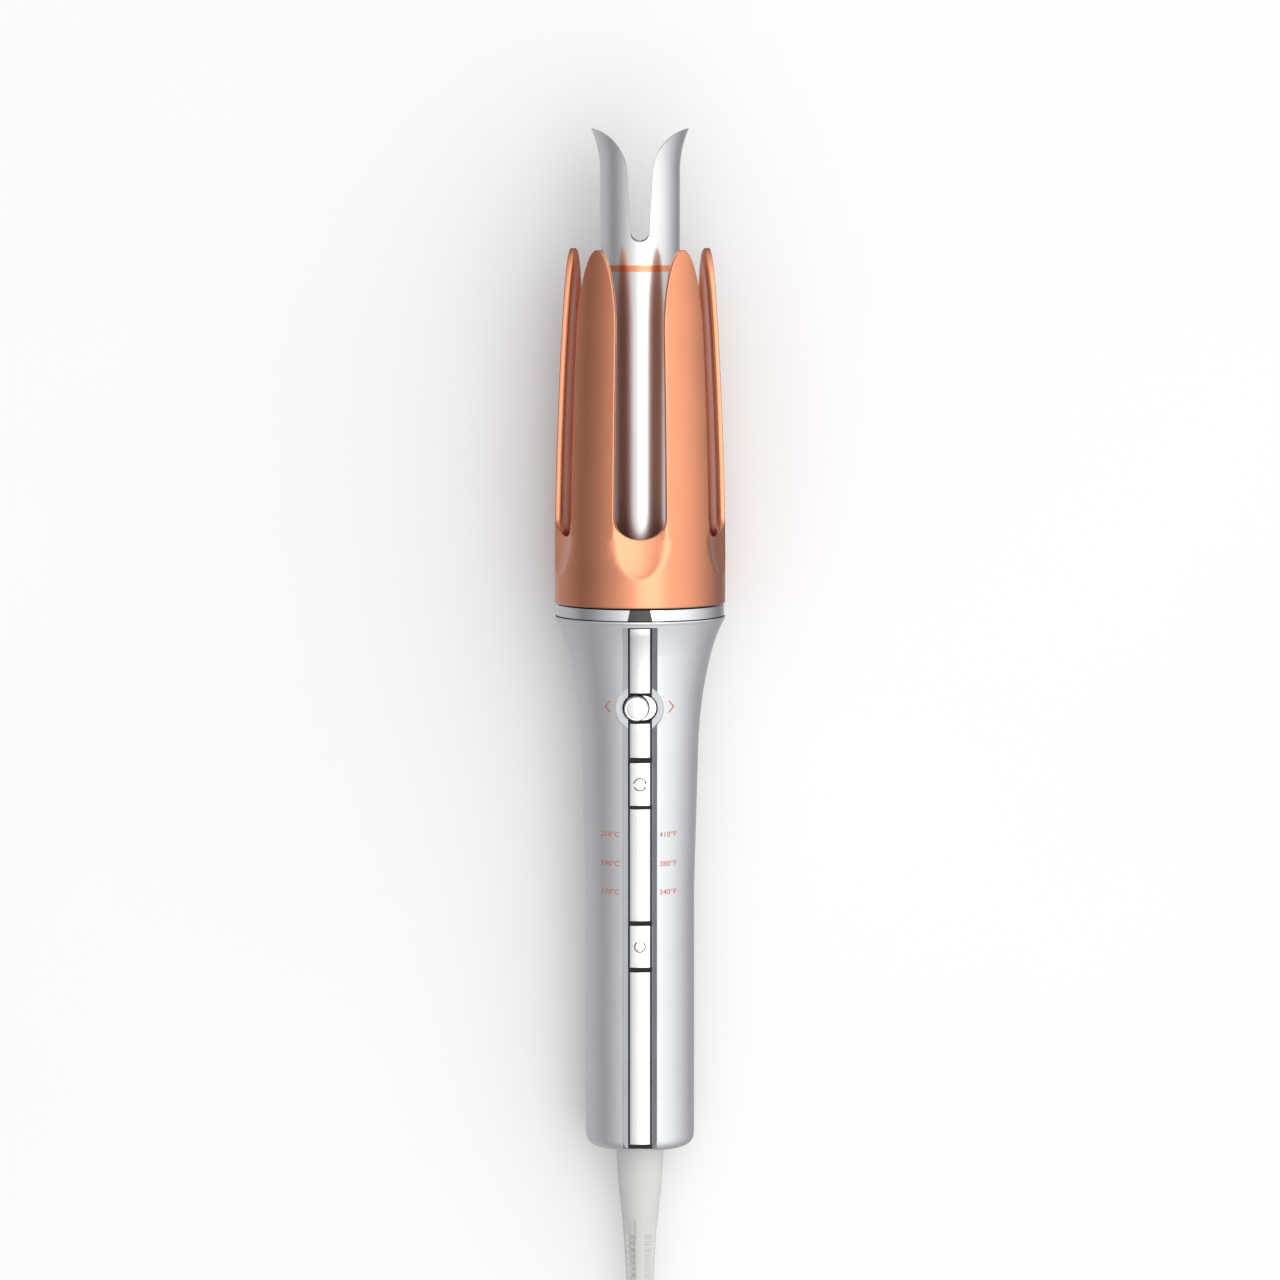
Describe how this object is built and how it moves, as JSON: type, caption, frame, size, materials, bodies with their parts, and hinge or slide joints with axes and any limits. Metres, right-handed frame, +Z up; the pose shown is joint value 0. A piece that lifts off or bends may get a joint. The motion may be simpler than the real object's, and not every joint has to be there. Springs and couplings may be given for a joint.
{
  "type": "curling iron",
  "caption": "Automatic curling iron with a rotating heated barrel, a rose-gold comb shield, a forked tip, a flared silver handle with inlaid controls and a swivel cord.",
  "frame": {"origin": "centre of the iron's own box, without its cord, on the surface it lies on", "axes": "+X from the handle's end towards the forked tip, +Z up, the side the controls face"},
  "size_m": [0.6849, 0.061, 0.063],
  "materials": {
    "satin_silver": "satin silver paint on a moulded shell",
    "bright_chrome": "bright plated strip and ring",
    "channel_grey": "grey plated channel",
    "dark_mark": "dark gloss inlay",
    "rose_gold": "rose-gold satin coating",
    "barrel_metal": "satin ceramic-coated aluminium",
    "fork_silver": "satin silver heat-resistant moulding",
    "heat_plastic": "black heat-resistant moulding",
    "copper": "bright copper",
    "ceramic_white": "white technical ceramic",
    "heater_alloy": "milled aluminium",
    "gear_white": "natural acetal",
    "steel": "plated steel",
    "sintered_bronze": "oil-filled bronze",
    "board_green": "solder-masked board",
    "component_black": "moulded component",
    "lamp_clear": "clear lamp",
    "carbon": "carbon brush",
    "cord_grey": "light warm-grey soft moulding",
    "tie_black": "woven hook-and-loop tie",
    "plug_grey": "light grey moulded plug",
    "pin_metal": "nickel-plated pins"
  },
  "bodies": {
    "housing": {"front_handle_shell": "satin_silver", "rear_handle_shell": "satin_silver", "control_channel": "channel_grey", "lower_strip": "bright_chrome", "temperature_window": "bright_chrome", "middle_strip": "bright_chrome", "upper_strip": "bright_chrome", "chrome_ring": "bright_chrome", "alignment_mark": "dark_mark", "comb_shield": "rose_gold", "contact_brushes": "carbon", "brush_block": "heat_plastic", "gearbox": "steel", "drive_motor": "steel", "gear_plate": "heat_plastic", "lower_bush": "sintered_bronze", "bearing_plate": "heat_plastic", "shield_screws": "steel", "upper_bush": "sintered_bronze", "control_board": "board_green", "button_switches": "component_black", "indicator_lamps": "lamp_clear", "slide_switch": "component_black", "power_board": "board_green", "power_parts": "component_black", "case_screws": "steel", "contact_block": "heat_plastic", "cord_lead": "cord_grey", "cord_tail": "cord_grey", "cord_hank": "cord_grey", "hank_tie": "tie_black", "plug_body": "plug_grey", "plug_pins": "pin_metal"},
    "barrel": {"barrel_tube": "barrel_metal", "barrel_hub": "heat_plastic", "spacer_band": "rose_gold", "tip_insulator": "heat_plastic", "fork_tip": "fork_silver", "heater_core": "heater_alloy", "heater_plates": "ceramic_white", "thermal_fuse": "steel", "heater_leads": "copper", "slip_rings": "copper", "barrel_gear": "gear_white"},
    "pinion": {"motor_pinion": "steel"},
    "power_key": {"power_button": "bright_chrome"},
    "rotation_key": {"rotation_button": "bright_chrome"},
    "direction_slide": {"slider_plate": "bright_chrome", "slider_cap": "bright_chrome"},
    "swivel": {"strain_relief": "cord_grey", "swivel_collar": "heat_plastic", "swivel_contacts": "copper"}
  },
  "joints": [
    {"name": "barrel_spin", "type": "hinge", "parent": "housing", "child": "barrel", "pos_m": [0.06808, 0, 0.03398], "axis": [0.9982, 0, 0.0593], "continuous": true},
    {"name": "pinion_spin", "type": "hinge", "parent": "housing", "child": "pinion", "pos_m": [-0.0142, 0, 0.01938], "axis": [0.9982, 0, 0.0593], "continuous": true},
    {"name": "power_press", "type": "slide", "parent": "housing", "child": "power_key", "axis": [0.0593, 0, -0.9982], "range_m": [0, 0.0005], "stiffness_N_per_m": 600, "springref_m": -0.0004},
    {"name": "rotation_press", "type": "slide", "parent": "housing", "child": "rotation_key", "axis": [0.0593, 0, -0.9982], "range_m": [0, 0.0005], "stiffness_N_per_m": 600, "springref_m": -0.0004},
    {"name": "direction_slide_move", "type": "slide", "parent": "housing", "child": "direction_slide", "axis": [0, -1, 0], "range_m": [0, 0.0026]},
    {"name": "cord_swivel", "type": "hinge", "parent": "housing", "child": "swivel", "pos_m": [-0.18149, 0, 0.01917], "axis": [0.9982, 0, 0.0593], "continuous": true}
  ],
  "couplings": [
    {"joint": "pinion_spin", "follows": "barrel_spin", "ratio": -1.6667}
  ]
}
